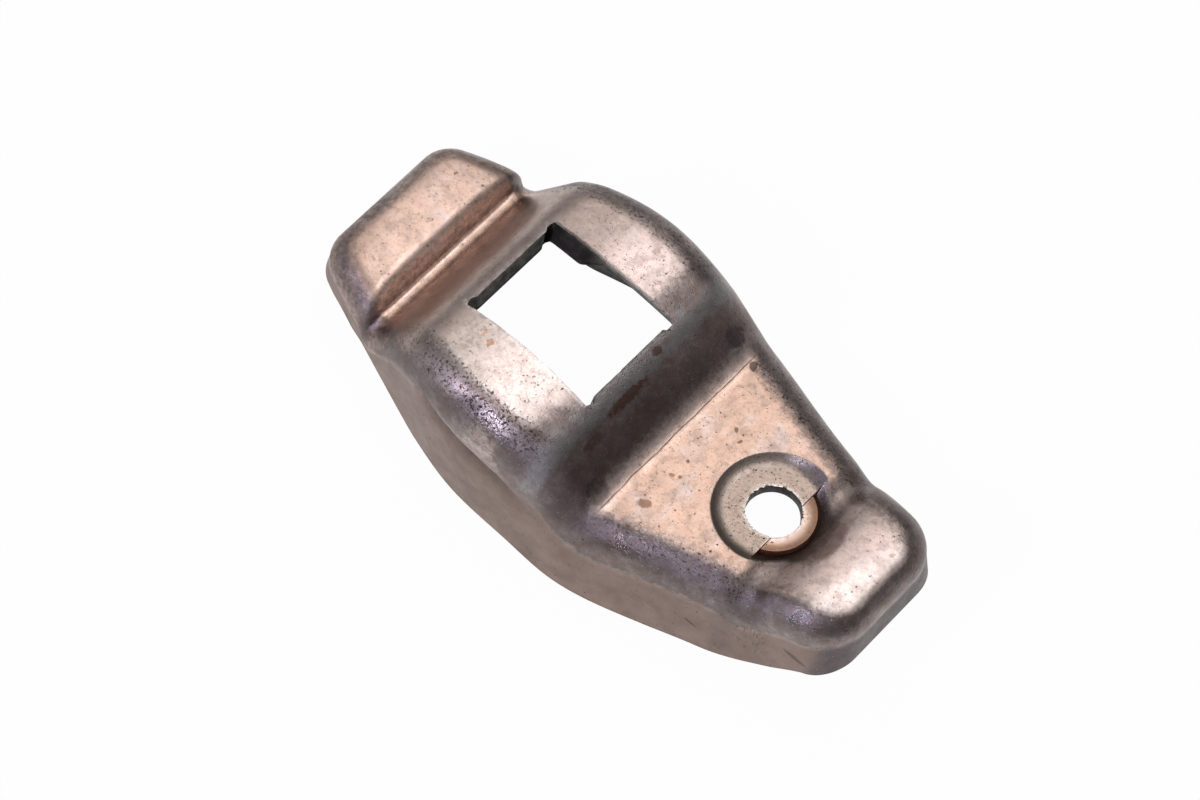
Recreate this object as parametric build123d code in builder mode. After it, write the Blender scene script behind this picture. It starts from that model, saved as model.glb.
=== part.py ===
from build123d import *
import os

# Rocker arm stamped and drawn from one piece of sheet steel, in millimetres.
# X runs along the arm towards the valve tip, Y across it and Z up.
# The origin is where the fulcrum bears: on the underside of the arch, at the middle of the window.

# Sheet
sheet = 2.2
shoulder_radius = 3.0
crest_corner_radius = 5.0
hem_corner_radius = 3.0

# Stations along the arm
pad_end_x = -25.0
pad_x = -20.5
pad_brow_x = -18.8
valley_x = -15.9
foot_x = -9.6
brow_x = 9.6
crease_x = 15.8
hole_x = 29.8
dip_x = 34.9
tip_x = 39.6
tip_end_x = 45.1

# Heights of the outer skin
pad_z = -4.6
valley_z = -8.6
brow_z = 1.0
crease_z = -4.4
plate_z = -3.1
dip_z = -3.9
tip_z = 0.3
nose_z = -0.5

# Bends of the outer skin, seen from the side
pad_bend = 4.4
valley_bend = 1.4
brow_bend = 6.0
crease_bend = 2.4
plate_bend = 4.4
dip_bend = 4.0
tip_bend = 5.0

# Half widths of the sides at the level of the crest
pad_end_crest = 8.6
pad_crest = 11.3
valley_crest = 13.3
foot_crest = 15.3
arch_crest = 16.7
brow_crest = 15.4
crease_crest = 14.0
hole_crest = 10.7
tip_end_crest = 8.3

# Half widths of the sides at the level of the hem
pad_end_hem = 9.8
pad_hem = 11.8
valley_hem = 13.0
foot_hem = 14.4
arch_hem = 17.3
brow_hem = 18.4
crease_hem = 18.9
hole_hem = 14.6
tip_end_hem = 10.2

# Outward lean of the two end walls, from crest to hem
end_flare = 2.6

# Trimmed lower edge
hem_z = -15.5
hem_start_x = -3.0
hem_stop_x = 20.0
foot_trim_z = -13.6
pad_trim_z = -11.1
pad_end_trim_z = -10.3
plate_trim_x = 33.0
plate_trim_z = -13.6
tip_trim_z = -11.1
tip_end_trim_z = -6.1

# Window for the fulcrum bolt
window_length = 18.0
window_width = 13.8
window_corner = 1.3
window_lean = 0.68
window_breakout = 0.23
window_edge_z = 1.3

# Hole at the valve end, with its coined seat
hole_radius = 3.0
seat_radius = 6.75
seat_floor_radius = 5.2
seat_depth = 0.7
lip_radius = 4.6
lip_drop = 0.25
step_offset = 1.75

# Hollow around the lip, beyond the step
hollow_radius = 7.7
hollow_depth = 1.9
hollow_rise = 0.9

# Allowances by which cutting tools and plans run past the sheet
overrun = 6.0
plan_margin = 1.0

crest_z = sheet
top_plan_z = crest_z + plan_margin
hem_plan_z = hem_z - overrun - plan_margin
window_top_z = window_edge_z + sheet
window_bottom_z = window_edge_z - 2 * sheet
window_rise = window_top_z - window_edge_z
window_fall = window_edge_z - window_bottom_z
window_top_length = window_length + 2 * window_lean * window_rise
window_top_width = window_width - 2 * window_breakout * window_rise
window_bottom_length = window_length - 2 * window_lean * window_fall
window_bottom_width = window_width + 2 * window_breakout * window_fall
plate_slope = (plate_z - crease_z) / (hole_x - crease_x)
step_x = hole_x + step_offset
seat_plane = Plane(origin=(hole_x, 0, plate_z), x_dir=(1, 0, plate_slope), z_dir=(-plate_slope, 0, 1))
lip_plane = seat_plane.offset(-seat_depth - lip_drop)
seat_section = Plane(origin=seat_plane.origin, x_dir=seat_plane.x_dir, z_dir=(0, -1, 0))
stations = [pad_end_x, pad_x, valley_x, foot_x, 0, brow_x, crease_x, hole_x, tip_end_x]
crest_widths = [pad_end_crest, pad_crest, valley_crest, foot_crest, arch_crest,
                brow_crest, crease_crest, hole_crest, tip_end_crest]
hem_widths = [pad_end_hem, pad_hem, valley_hem, foot_hem, arch_hem,
              brow_hem, crease_hem, hole_hem, tip_end_hem]


def draw_plan(height, widths, reach, radius, inset):
    """Boat-shaped outline of the sides and end walls at one height."""
    spots = [(x, width - inset) for x, width in zip(stations, widths)]
    spots[0] = (pad_end_x - reach + inset, widths[0] - inset)
    spots[-1] = (tip_end_x + reach - inset, widths[-1] - inset)
    with BuildSketch(Plane.XY.offset(height)) as plan:
        with BuildLine():
            far_side = Spline(*spots)
            near_side = mirror(about=Plane.XZ)
            Line(far_side @ 0, near_side @ 0)
            Line(far_side @ 1, near_side @ 1)
        make_face()
        fillet(plan.vertices(), radius - inset)
    return plan.sketch


def draw_tub(inset):
    """Solid between the outlines above the crest and below the hem."""
    top_plan = draw_plan(top_plan_z, crest_widths, 0, crest_corner_radius, inset)
    hem_plan = draw_plan(hem_plan_z, hem_widths, end_flare, hem_corner_radius, inset)
    with BuildPart() as tub:
        loft([top_plan.face(), hem_plan.face()])
    return tub.part


def draw_side(inset):
    """Side view of the skin, closed well below the hem."""
    start = pad_end_x - overrun
    stop = tip_end_x + overrun
    bottom = hem_z - overrun
    bends = {
        (pad_brow_x, pad_z): pad_bend,
        (valley_x, valley_z): valley_bend,
        (foot_x, brow_z): brow_bend,
        (brow_x, brow_z): brow_bend,
        (crease_x, crease_z): crease_bend,
        (step_x, plate_z + plate_slope * step_offset): plate_bend,
        (dip_x, dip_z): dip_bend,
        (tip_x, tip_z): tip_bend,
    }
    corners = list(bends)
    with BuildSketch(Plane.XZ) as side:
        with BuildLine():
            Polyline((start, bottom), (start, pad_z), *corners[:3])
            ThreePointArc(corners[2], (0, crest_z), corners[3])
            Polyline(*corners[3:], (stop, nose_z), (stop, bottom), (start, bottom))
        make_face()
        for corner, bend in bends.items():
            fillet(side.vertices().sort_by_distance((*corner, 0))[0], bend)
        if inset:
            offset(amount=-inset)
    return side.sketch


def draw_form(inset):
    """Solid bounded by the skin, moved inwards by the inset."""
    side = draw_side(inset)
    tub = draw_tub(inset)
    with BuildPart() as form:
        extrude(side, amount=arch_hem + overrun, both=True)
        add(tub, mode=Mode.INTERSECT)
        rim = form.edges().filter_by(
            lambda edge: edge.geom_type != GeomType.LINE and edge.bounding_box().min.Z > hem_z)
        fillet(rim, shoulder_radius - inset)
    return form.part


def draw_seat_tool():
    """Tool for the coined seat: a floor with a coved wall around the hole, ending at the step."""
    with BuildPart() as seat_tool:
        with BuildSketch(seat_section):
            with BuildLine():
                floor = Line((0, -seat_depth), (seat_floor_radius, -seat_depth))
                cove = TangentArc(floor @ 1, (seat_radius, 0), tangent=(1, 0))
                Polyline(cove @ 1, (seat_radius, overrun), (0, overrun), (0, -seat_depth))
            make_face()
        revolve(axis=Axis(seat_plane.origin, seat_plane.z_dir))
        split(bisect_by=Plane.YZ.offset(step_x), keep=Keep.BOTTOM)
    return seat_tool.part


def draw_hollow_tool():
    """Tool for the hollow that runs around the lip, beyond the step."""
    with BuildPart() as hollow_tool:
        with BuildSketch(seat_section):
            with BuildLine():
                Polyline(
                    (0, -hollow_depth),
                    (lip_radius, -hollow_depth),
                    (hollow_radius, hollow_rise),
                    (hollow_radius, overrun),
                    (0, overrun),
                    (0, -hollow_depth),
                )
            make_face()
        revolve(axis=Axis(seat_plane.origin, seat_plane.z_dir))
        split(bisect_by=Plane.YZ.offset(step_x), keep=Keep.TOP)
    return hollow_tool.part


def draw_lip_tool():
    """Tool that levels the lip beyond the step."""
    with BuildPart() as lip_tool:
        with BuildSketch(lip_plane):
            Circle(lip_radius)
        extrude(amount=overrun)
        split(bisect_by=Plane.YZ.offset(step_x), keep=Keep.TOP)
    return lip_tool.part


def draw_trim_region():
    """Side view of all that lies above the trimmed lower edge."""
    far_left = pad_end_x - overrun
    far_right = tip_end_x + overrun
    with BuildSketch(Plane.XZ) as region:
        with BuildLine():
            Polyline(
                (far_right, tip_end_trim_z),
                (far_right, overrun),
                (far_left, overrun),
                (far_left, pad_end_trim_z),
            )
            Spline(
                (far_left, pad_end_trim_z),
                (pad_x, pad_trim_z),
                (foot_x, foot_trim_z),
                (hem_start_x, hem_z),
                tangents=((1, 0), (1, 0)),
            )
            Line((hem_start_x, hem_z), (hem_stop_x, hem_z))
            Spline(
                (hem_stop_x, hem_z),
                (plate_trim_x, plate_trim_z),
                (tip_x, tip_trim_z),
                (far_right, tip_end_trim_z),
                tangents=((1, 0), (2, 1)),
            )
        make_face()
    return region.sketch


outer_form = draw_form(0)
inner_form = draw_form(sheet)
seat_tool = draw_seat_tool()
hollow_tool = draw_hollow_tool()
lip_tool = draw_lip_tool()
trim_region = draw_trim_region()

with BuildPart() as rocker_arm:
    add(outer_form)

    # Half round lip beyond the step, standing in its hollow
    add(hollow_tool, mode=Mode.SUBTRACT)
    with BuildSketch(lip_plane):
        Circle(lip_radius)
    extrude(amount=-sheet)

    # Coined seat
    add(seat_tool, mode=Mode.SUBTRACT)
    add(lip_tool, mode=Mode.SUBTRACT)

    # Hollow underside
    add(inner_form, mode=Mode.SUBTRACT)

    # Trimmed lower edge
    extrude(trim_region, amount=arch_hem + overrun, both=True, mode=Mode.INTERSECT)

    # Window: end walls square to the bent sheet, side walls opening downwards where the punch broke out
    with BuildSketch(Plane.XY.offset(window_top_z)):
        RectangleRounded(window_top_length, window_top_width, window_corner)
    with BuildSketch(Plane.XY.offset(window_bottom_z)):
        RectangleRounded(window_bottom_length, window_bottom_width, window_corner)
    loft(mode=Mode.SUBTRACT)

    # Hole
    with Locations(seat_plane):
        Hole(hole_radius, depth=2 * sheet)

rocker_arm.part.label = "rocker_arm"
os.makedirs("parts", exist_ok=True)
export_step(rocker_arm.part, "parts/rocker_arm.step")
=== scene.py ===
import math

import bpy
import numpy as np
from mathutils import Matrix, Vector, kdtree


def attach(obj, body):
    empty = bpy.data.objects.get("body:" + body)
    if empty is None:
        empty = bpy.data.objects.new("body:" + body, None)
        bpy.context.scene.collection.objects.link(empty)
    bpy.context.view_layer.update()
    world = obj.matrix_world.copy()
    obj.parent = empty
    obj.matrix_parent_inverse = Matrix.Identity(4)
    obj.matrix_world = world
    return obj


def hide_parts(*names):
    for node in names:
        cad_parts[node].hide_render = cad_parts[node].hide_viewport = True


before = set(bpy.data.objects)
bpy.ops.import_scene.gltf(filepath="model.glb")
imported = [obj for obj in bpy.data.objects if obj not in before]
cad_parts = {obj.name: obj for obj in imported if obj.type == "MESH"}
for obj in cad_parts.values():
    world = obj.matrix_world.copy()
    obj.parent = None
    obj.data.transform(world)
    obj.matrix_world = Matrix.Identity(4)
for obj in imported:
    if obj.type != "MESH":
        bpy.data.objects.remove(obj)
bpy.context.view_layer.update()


# Rocker arm
# One piece of 2.2 mm sheet steel, drawn in a die into a boat-shaped channel with an arch in the middle,
# then pierced with a window and a hole. It is bare steel, tarnished, pitted and polished by handling.

sheet = 2.2e-3

# Stations along the arm, and half widths of its sides at one level above the crest and at one below the hem
stations = np.array([-25.0, -20.5, -15.9, -9.6, 0.0, 9.6, 15.8, 29.8, 45.1]) * 1e-3
crest_widths = np.array([8.6, 11.3, 13.3, 15.3, 16.85, 15.65, 14.0, 10.7, 8.3]) * 1e-3
hem_widths = np.array([9.8, 11.8, 13.0, 14.4, 17.25, 18.2, 18.75, 14.6, 10.2]) * 1e-3
crest_level = 3.2e-3
hem_level = -22.5e-3
end_flare = 2.6e-3
crest_corner_radii = (5.8e-3, 7.0e-3)
hem_corner_radii = (1.6e-3, 0.8e-3)

# Bends of the skin seen from the side: place, height and radius of each. The ends lie past the end walls.
foot = (-9.6e-3, 1.0e-3, 6.0e-3)
brow = (9.6e-3, 1.0e-3, 6.0e-3)
crease = (15.8e-3, -4.4e-3, 3.4e-3)
plate_end = (31.55e-3, -2.94e-3, 4.4e-3)
pad_bends = [(-17.3e-3, -4.72e-3, 2.1e-3), (-16.5e-3, -7.3e-3, 0.2e-3), (-15.3e-3, -7.74e-3, 1.7e-3)]
tip_bends = [(34.0e-3, -3.85e-3, 2.4e-3), (38.5e-3, -0.2e-3, 8.5e-3)]
pad_start = (-40e-3, -4.6e-3)
nose = (51.1e-3, -0.5e-3)
arch_height = 2.2e-3
brow_reach = 2.6e-3
nearly_straight = 1.56

# Trimmed lower edge: places along the arm and the height of the hem there, in millimetres
hem_at_pad = [
    (-31.0, -9.6), (-26.0, -9.8), (-23.0, -10.2), (-20.5, -10.3), (-17.0, -11.1),
    (-14.0, -12.3), (-11.5, -13.6), (-9.5, -14.6), (-7.0, -15.4),
]
hem_below_arch = [(x, -15.5) for x in (-4.0, 3.0, 9.0, 15.0, 20.0, 25.0)]
hem_at_tip = [
    (28.0, -15.4), (31.0, -15.15), (33.5, -14.8), (36.0, -13.8), (38.3, -12.5),
    (40.5, -11.2), (42.5, -9.75), (44.5, -8.4), (46.5, -7.1), (51.1, -5.0),
]
hem_x, hem_z = np.array(hem_at_pad + hem_below_arch + hem_at_tip).T * 1e-3

# Radius of the shoulders along the arm
shoulder_x = np.array([-25.0, -16.0, -9.0, 9.0, 16.0, 24.0, 34.0, 39.0, 45.0]) * 1e-3
shoulder_radii = np.array([2.7, 3.2, 4.4, 4.4, 3.4, 3.1, 3.3, 3.0, 2.35]) * 1e-3

# Crowned pads: way along the arm, middle, reach along and across, and drop at the edge of each
pads = [(-1, -20.6e-3, (3.6e-3, 9.4e-3), 0.3e-3), (1, 39.8e-3, (4.9e-3, 7.0e-3), 0.15e-3)]
pad_fade = (-0.8, 0.8)
crown_power, crown_limit = 3.4, 1.3

# Soft crease that the dies left along each side under the arch, with its reach above and below
fold_x = np.array([-7.5, -3.5, 0.0, 3.5, 6.0, 8.4, 11.3, 13.0]) * 1e-3
fold_z = np.array([-3.2, -4.2, -4.6, -5.0, -5.5, -6.5, -7.4, -8.0]) * 1e-3
fold_depth = 0.6e-3
fold_reaches = (0.344e-3, 1.32e-3)
fold_span = (-6.6e-3, 2.5e-3), (8.0e-3, 8e-3)
fold_half = 14e-3
skin_clearance = 0.02e-3

# Window, with the lean of its side walls where the punch broke out
window_ends = (-9.0e-3, 9.4e-3)
window_half = 6.9e-3
window_level = 1.3e-3
window_corner = 1.1e-3
breakout = 0.227
torn_lean = 0.5
far_breakout = 0.33
torn_end = (-2.4e-3, 2.6e-3)
window_fade = (13e-3, 6e-3)
breakout_fade = (11e-3, 3e-3)

# Hole, with its coined seat, and the lip in its hollow beyond the step
hole_x = 29.8e-3
hole_radius = 3.0e-3
seat_radius = 6.75e-3
seat_floor_radius = 5.2e-3
seat_depth = 0.7e-3
lip_radius = 4.6e-3
lip_drop = 0.25e-3
step_x = 31.55e-3
step_gap = 0.03e-3
hollow_radius = 7.7e-3
hollow_depth = 1.9e-3
hollow_rise = 0.9e-3

# How far the rims of the window and of the hole stray, and how much each stray carries on to the next point
rim_raggedness = (0.03e-3, 0.08e-3)
ragged_run = 0.8

# Inside of the sheet: where walls stand nearly upright, and the valley whose bends are sharp
upright_reach = 2e-3
upright_shares = (0.5, 0.95)
upright_hole = (6.5e-3, 3e-3)
valley_span = (-20e-3, 2e-3), (-13e-3, 2e-3)
inner_span, inner_points = (-30e-3, 50e-3), 1601

# Edges of the sheet are barely rounded
edge_rounding = 0.12e-3
sharp_edge = math.radians(55)

# Divisions of the mesh
crown_points = 31
bend_points = 13
corner_steps = 9
across_steps = 48
run_steps = [46, 52, 40, 44, 10]
fade_steps = 21
window_rows = 28
shoulder_steps = 12
wall_steps = 36
rim_steps = 4
seat_block = (22.3e-3, 37.3e-3)
corner_tries = 30
probe_step = 0.01e-3
shortest = 1e-12


def spline_through(x, knots, values):
    """Natural cubic spline through the given values."""
    gaps = np.diff(knots)
    slopes = np.diff(values) / gaps
    count = len(knots)
    system = np.eye(count)
    right = np.zeros(count)
    for k in range(1, count - 1):
        system[k, k - 1 : k + 2] = gaps[k - 1], 2 * (gaps[k - 1] + gaps[k]), gaps[k]
        right[k] = 6 * (slopes[k] - slopes[k - 1])
    curvature = np.linalg.solve(system, right)
    k = np.clip(np.searchsorted(knots, x) - 1, 0, count - 2)
    left, gap = x - knots[k], gaps[k]
    bend = (curvature[k + 1] - curvature[k]) / gap
    start = slopes[k] - gap * (2 * curvature[k] + curvature[k + 1]) / 6
    return values[k] + left * (start + left * (curvature[k] / 2 + left * bend / 6))


def side_profile():
    """Points of the skin's side view: straights joined by round bends, with an arc over the arch."""
    half, rise = brow[0], arch_height - brow[1]
    arch_radius = (half**2 + rise**2) / (2 * rise)
    clear = half - brow_reach
    crown = [
        (x, arch_height - arch_radius + math.sqrt(arch_radius**2 - x * x), 0)
        for x in np.linspace(-clear, clear, crown_points)
    ]
    route = [(*pad_start, 0), *pad_bends, foot, *crown, brow, crease, plate_end, *tip_bends, (*nose, 0)]
    xs, zs = [], []
    for before, here, after in zip(route, route[1:], route[2:]):
        corner, radius = np.array(here[:2]), here[2]
        to_before = np.array(before[:2]) - corner
        to_after = np.array(after[:2]) - corner
        to_before /= np.linalg.norm(to_before)
        to_after /= np.linalg.norm(to_after)
        half_angle = math.acos(np.clip(to_before @ to_after, -1, 1)) / 2
        if radius == 0 or half_angle > nearly_straight:
            xs.append(corner[0])
            zs.append(corner[1])
            continue
        reach = radius / math.tan(half_angle)
        middle = (to_before + to_after) / np.linalg.norm(to_before + to_after)
        centre = corner + middle * radius / math.sin(half_angle)
        first = corner + to_before * reach - centre
        last = corner + to_after * reach - centre
        for t in np.linspace(0, 1, bend_points):
            spoke = first * (1 - t) + last * t
            point = centre + spoke / np.linalg.norm(spoke) * radius
            xs.append(point[0])
            zs.append(point[1])
    return np.array([pad_start[0], *xs, nose[0]]), np.array([pad_start[1], *zs, nose[1]])


profile_x, profile_z = side_profile()


def skin_height(x):
    return np.interp(x, profile_x, profile_z)


def rounded_corner(knots, widths, corner_radius, inward):
    """Arc from the middle of an end wall's corner to the side, in two halves."""
    end_x = knots[0] if inward > 0 else knots[-1]
    tangent_x = end_x + inward * corner_radius
    for _ in range(corner_tries):
        probe = tangent_x + np.array([-probe_step, 0, probe_step])
        before, width, after = spline_through(probe, knots, widths)
        lean = math.atan((after - before) / (2 * probe_step))
        tangent_x = end_x + inward * corner_radius - corner_radius * math.sin(lean)
    centre = np.array([end_x + inward * corner_radius, width - corner_radius * math.cos(lean)])
    turn = np.linspace(0, math.pi / 2 - inward * lean, 2 * corner_steps + 1)
    arc = centre + corner_radius * np.stack([-inward * np.cos(turn), np.sin(turn)], 1)
    return arc[: corner_steps + 1], arc[corner_steps:]


def outline(widths, reach, corner_radii, columns):
    """Far side and both end walls of the plan at one level."""
    knots = np.array([stations[0] - reach, *stations[1:-1], stations[-1] + reach])
    pad_wall, pad_side = rounded_corner(knots, widths, corner_radii[0], 1)
    tip_wall, tip_side = rounded_corner(knots, widths, corner_radii[1], -1)
    span = (columns - columns[0]) / (columns[-1] - columns[0])
    x = pad_side[-1, 0] + span * (tip_side[-1, 0] - pad_side[-1, 0])
    y = spline_through(x, knots, widths)
    side = np.concatenate([pad_side[:-1], np.stack([x, y], 1), tip_side[-2::-1]])
    ends = []
    for wall in (pad_wall, tip_wall):
        straight = across_steps - 2 * corner_steps
        across = np.linspace(-wall[0, 1], wall[0, 1], straight + 1)
        middle = np.stack([np.full_like(across, wall[0, 0]), across], 1)
        mirrored = wall[::-1] * [1, -1]
        ends.append(np.concatenate([mirrored[:-1], middle, wall[1:]]))
    return side, ends[0], ends[1]


def smooth(edge, width, value):
    """0 below the edge and 1 above it, changing smoothly over the width."""
    t = np.clip((value - edge) / width + 0.5, 0, 1)
    return t * t * (3 - 2 * t)


def within(start, stop, value):
    """1 between two edges, each given with the width over which it changes."""
    return smooth(*start, value) * (1 - smooth(*stop, value))


def near(middle, reach, value):
    """1 at the middle, falling away on both sides."""
    return np.exp(-(((value - middle) / reach) ** 2))


# Columns of the skin's grid, with one on each end of the window and of the block round the seat
whole_side = outline(crest_widths, 0, crest_corner_radii, np.array([0.0, 1.0]))[0]
pad_tangent, tip_tangent = whole_side[corner_steps, 0], whole_side[corner_steps + 1, 0]
run_ends = [pad_tangent, *window_ends, *seat_block, tip_tangent]
runs = [np.linspace(a, b, n + 1)[:-1] for a, b, n in zip(run_ends, run_ends[1:], run_steps)]
columns = np.concatenate([*runs, [tip_tangent]])
last_column = len(columns) - 1 + 2 * corner_steps
run_stops = (corner_steps + np.cumsum(run_steps)).tolist()
window_columns, seat_columns = run_stops[:2], run_stops[2:4]
window_row_ends = ((across_steps - window_rows) // 2, (across_steps + window_rows) // 2)


def closed_loop(side, pad, tip):
    """Plan points all the way round, from the near corner of the pad's end."""
    near_side = side[::-1] * [1, -1]
    return np.concatenate([pad[:-1], side[:-1], tip[::-1][:-1], near_side[:-1]])


crest_loop = closed_loop(*outline(crest_widths, 0, crest_corner_radii, columns))
hem_loop = closed_loop(*outline(hem_widths, end_flare, hem_corner_radii, columns))
around = len(crest_loop)


def plan_at(height):
    """Plan points round the sides at the height given for each."""
    share = ((crest_level - height) / (crest_level - hem_level))[:, None]
    return crest_loop * (1 - share) + hem_loop * share


# Shoulders and sides: loops round the skin, from the edge of the flat top to the hem
tangents = np.roll(crest_loop, -1, 0) - np.roll(crest_loop, 1, 0)
tangents /= np.linalg.norm(tangents, axis=1)[:, None]
inward = np.stack([tangents[:, 1], -tangents[:, 0]], 1)
radius = np.interp(crest_loop[:, 0], shoulder_x, shoulder_radii)
loops = []
for step in range(shoulder_steps + 1):
    turn = step / shoulder_steps * math.pi / 2
    flat = plan_at(skin_height(crest_loop[:, 0])) + inward * (radius * (1 - math.sin(turn)))[:, None]
    height = skin_height(flat[:, 0]) - radius * (1 - math.cos(turn))
    flat = plan_at(height) + inward * (radius * (1 - math.sin(turn)))[:, None]
    loops.append(np.column_stack([flat, height]))
spring = loops[-1][:, 2]
hem = spline_through(crest_loop[:, 0], hem_x, hem_z)
hem = np.maximum(spline_through(plan_at(hem)[:, 0], hem_x, hem_z), hem_z.min() + skin_clearance)
for step in range(1, wall_steps + 1):
    height = spring + (hem - spring) * step / wall_steps
    loops.append(np.column_stack([plan_at(height), height]))

# Flat top: straight rows and columns that bend to meet the rounded ends
edge = loops[0]
pad_edge = edge[: across_steps + 1]
far_edge = edge[across_steps : across_steps + last_column + 1]
tip_edge = edge[across_steps + last_column : 2 * across_steps + last_column + 1][::-1]
share = np.linspace(-1, 1, across_steps + 1)
window_share = window_rows / across_steps
window_side = window_half - breakout * (skin_height(far_edge[:, 0]) - window_level)
near_window = 1 - smooth(*window_fade, np.abs(far_edge[:, 0]))
rows = np.zeros((last_column + 1, across_steps + 1))
for i in range(last_column + 1):
    reach = far_edge[i, 1]
    target = window_share + (window_side[i] / reach - window_share) * near_window[i]
    rows[i] = reach * np.interp(share, [-1, -window_share, window_share, 1], [-1, -target, target, 1])
top = np.zeros((last_column + 1, across_steps + 1, 3))
top[..., 0] = far_edge[:, 0][:, None]
top[..., 1] = rows
fade = np.clip(1 - np.arange(last_column + 1) / fade_steps, 0, 1) ** 2
top[..., :2] += fade[:, None, None] * (pad_edge[:, :2] - top[0, :, :2])[None]
top[..., :2] += fade[::-1][:, None, None] * (tip_edge[:, :2] - top[-1, :, :2])[None]

# Window corners, rounded
window_middle = sum(window_ends) / 2
corner_x = window_ends[1] - window_middle - window_corner
for i in range(window_columns[0], window_columns[1] + 1):
    for j in range(window_row_ends[0], window_row_ends[1] + 1):
        on_edge = i in window_columns or j in window_row_ends
        side_y = window_side[i] - window_corner
        dx, dy = abs(top[i, j, 0] - window_middle) - corner_x, abs(top[i, j, 1]) - side_y
        if on_edge and dx > 0 and dy > 0:
            long = math.hypot(dx, dy)
            reach = corner_x + dx / long * window_corner
            top[i, j, 0] = window_middle + math.copysign(reach, top[i, j, 0] - window_middle)
            top[i, j, 1] = math.copysign(side_y + dy / long * window_corner, top[i, j, 1])
top[..., 2] = skin_height(top[..., 0])

# Rings round the hole, from the square block out of the grid to the edge of the hole
first, last = seat_columns
block = [(i, 0) for i in range(first, last)]
block += [(last, j) for j in range(across_steps)]
block += [(i, across_steps) for i in range(last, first, -1)]
block += [(first, j) for j in range(across_steps, 0, -1)]
square = np.array([top[i, j, :2] for i, j in block])
bearing = np.arctan2(square[:, 1], square[:, 0] - hole_x)
seat_rings = np.array([6.95, 6.78, 6.7, 6.5, 6.2, 5.9, 5.55, 5.2, 4.95]) * 1e-3
lip_rings = np.array([4.68, 4.6, 4.52, 4.3, 4.0, 3.7, 3.4, 3.15]) * 1e-3
ring_radii = [*seat_rings, *lip_rings, hole_radius]
step_bearing = math.acos((step_x - hole_x) / ring_radii[0])
right_side = np.sort(bearing[bearing > 0])
step_row = np.searchsorted(right_side, step_bearing)
step_rows = right_side[[step_row - 1, step_row]]
step_ends = [-math.pi, *-step_rows[::-1], *step_rows, math.pi]


def ring_round_hole(ring_radius):
    """Circle of points with two close rows along the step."""
    before = math.acos((step_x - hole_x + step_gap) / ring_radius)
    after = math.acos((step_x - hole_x - step_gap) / ring_radius)
    turned = np.interp(bearing, step_ends, [-math.pi, -after, -before, before, after, math.pi])
    return np.stack([hole_x + ring_radius * np.cos(turned), ring_radius * np.sin(turned)], 1)


rings = [square * (1 - t) + ring_round_hole(ring_radii[0]) * t for t in (0.25, 0.5, 0.75)]
rings += [ring_round_hole(r) for r in ring_radii]
rings = [np.column_stack([ring, skin_height(ring[:, 0])]) for ring in rings]

# Skin of the arm as one list of points and quads
grid = np.arange(top[..., 0].size).reshape(last_column + 1, across_steps + 1)
points = [top.reshape(-1, 3)]
count = grid.size
ring_index = [np.array([grid[i, j] for i, j in block])]
for ring in rings:
    ring_index.append(count + np.arange(len(ring)))
    points.append(ring)
    count += len(ring)
loop_index = [np.concatenate([grid[0, :-1], grid[:-1, -1], grid[-1, :0:-1], grid[:0:-1, 0]])]
for loop in loops[1:]:
    loop_index.append(count + np.arange(around))
    points.append(loop)
    count += around
points = np.concatenate(points)


def bridge(outer, inner):
    """Quads between two closed rows of points."""
    return np.stack([outer, np.roll(outer, -1), np.roll(inner, -1), inner], 1)


open_cells = np.zeros((last_column, across_steps), bool)
open_cells[window_columns[0] : window_columns[1], window_row_ends[0] : window_row_ends[1]] = True
open_cells[first:last, :] = True
cells = np.stack([grid[:-1, :-1], grid[1:, :-1], grid[1:, 1:], grid[:-1, 1:]], -1)[~open_cells]
quads = [cells]
quads += [bridge(a, b) for a, b in zip(ring_index, ring_index[1:])]
quads += [bridge(a, b) for a, b in zip(loop_index, loop_index[1:])]
quads = np.concatenate(quads)

# Normals of the plain skin, which the inside of the sheet follows
corners = points[quads]
face_normals = np.cross(corners[:, 2] - corners[:, 0], corners[:, 3] - corners[:, 1])
normals = np.zeros_like(points)
for corner in range(4):
    np.add.at(normals, quads[:, corner], face_normals)
normals /= np.maximum(np.linalg.norm(normals, axis=1), shortest)[:, None]

# Inside of the sheet: the skin moved in by its thickness, as low as a ball of that radius reaches where
# the skin bends sharply, with the walls of the hole and of the window's ends kept nearly upright
inner_x = np.linspace(*inner_span, inner_points)
apart = np.abs(inner_x[:, None] - inner_x)
ball = np.where(apart < sheet, np.sqrt(np.clip(sheet**2 - apart**2, 0, None)), -1)
inner_z = (skin_height(inner_x) - ball).min(1)
in_valley = within(*valley_span, points[:, 0])
across_only = normals * np.stack([1 - in_valley, np.ones(len(points)), np.ones(len(points))], 1)
across_only /= np.maximum(np.linalg.norm(across_only, axis=1), shortest)[:, None]
inside = points - across_only * sheet
thicker = skin_height(points[:, 0]) - np.interp(points[:, 0], inner_x, inner_z) - sheet
inside[:, 2] -= in_valley * np.clip(across_only[:, 2], 0, 1) * thicker
is_top = np.arange(len(points)) < loop_index[1][0]
from_hole = np.hypot(points[:, 0] - hole_x, points[:, 1])
from_end = np.abs(points[:, 0, None] - window_ends).min(1)
end_share = np.where(points[:, 0] > 0, upright_shares[1], upright_shares[0])
at_end = near(0, upright_reach, from_end) * end_share
upright = is_top * np.maximum(1 - smooth(*upright_hole, from_hole), at_end)
inside[:, 0] += upright * (points[:, 0] - inside[:, 0])
inside[is_top, 2] = np.interp(inside[is_top, 0], inner_x, inner_z)

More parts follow.
